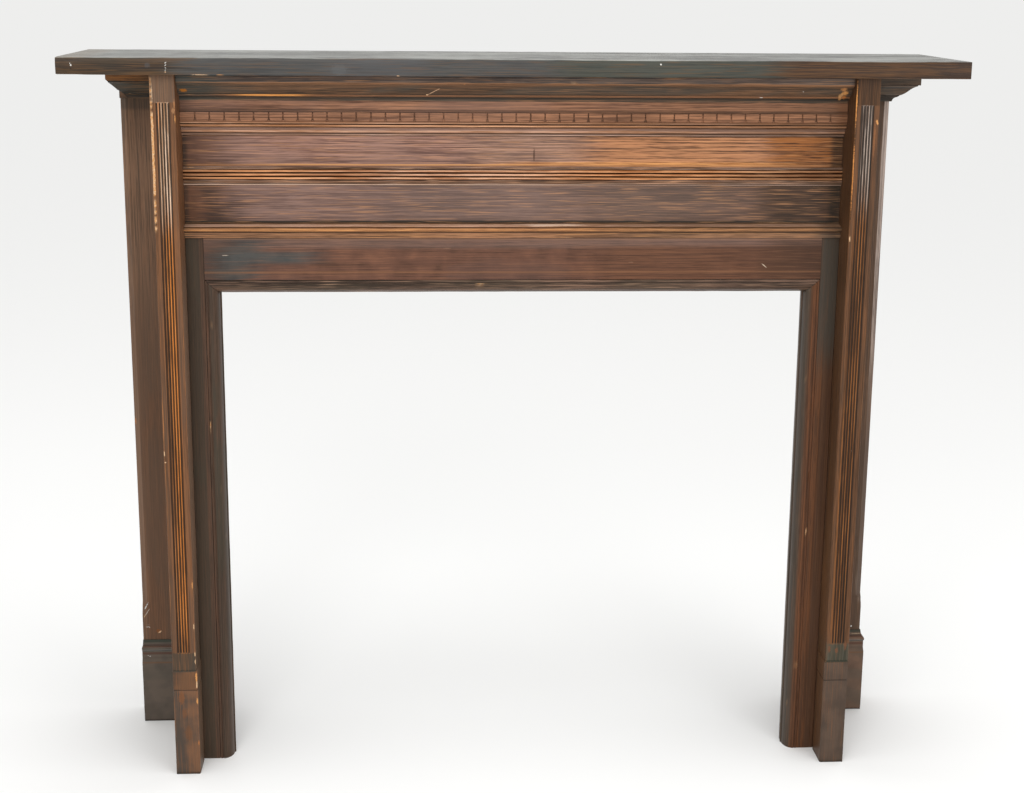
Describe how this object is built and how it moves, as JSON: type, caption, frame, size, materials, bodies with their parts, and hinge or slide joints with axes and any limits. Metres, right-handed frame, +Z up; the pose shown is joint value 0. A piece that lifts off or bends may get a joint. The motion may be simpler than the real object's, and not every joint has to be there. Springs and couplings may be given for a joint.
{
  "type": "fireplace mantel",
  "caption": "Free-standing stained wood fireplace surround with a square opening, fluted posts, narrow wings, a moulded frieze and a flat mantel shelf.",
  "frame": {"origin": "on the floor, at the middle of the width and of the depth", "axes": "+X to the right seen from the front, +Y back towards the wall, +Z up"},
  "size_m": [1.524, 0.3264, 1.2837],
  "materials": {
    "shelf_wood": "worn and greyed stained softwood",
    "dark_stain": "dark brown stain over softwood, dirty and lightly worn",
    "warm_stain": "red-brown stain over softwood, rubbed through on the arrises",
    "worn_stain": "brown stain worn to orange wood on the raised mouldings"
  },
  "bodies": {
    "root": {"shelf": "shelf_wood", "frieze_board": "warm_stain", "centre_crown": "dark_stain", "dentil_moulding": "warm_stain", "reeded_strip": "worn_stain", "ogee_rail": "worn_stain", "header_board": "dark_stain", "head_moulding": "dark_stain", "leg_moulding_left": "dark_stain", "leg_board_left": "dark_stain", "post_left": "warm_stain", "side_panel_left": "dark_stain", "wing_board_left": "dark_stain", "return_board_left": "dark_stain", "wing_crown_front_left": "dark_stain", "wing_crown_return_left": "dark_stain", "wing_base_front_left": "dark_stain", "wing_base_return_left": "dark_stain", "leg_moulding_right": "dark_stain", "leg_board_right": "dark_stain", "post_right": "warm_stain", "side_panel_right": "dark_stain", "wing_board_right": "dark_stain", "return_board_right": "dark_stain", "wing_crown_front_right": "dark_stain", "wing_crown_return_right": "dark_stain", "wing_base_front_right": "dark_stain", "wing_base_return_right": "dark_stain"}
  },
  "joints": []
}
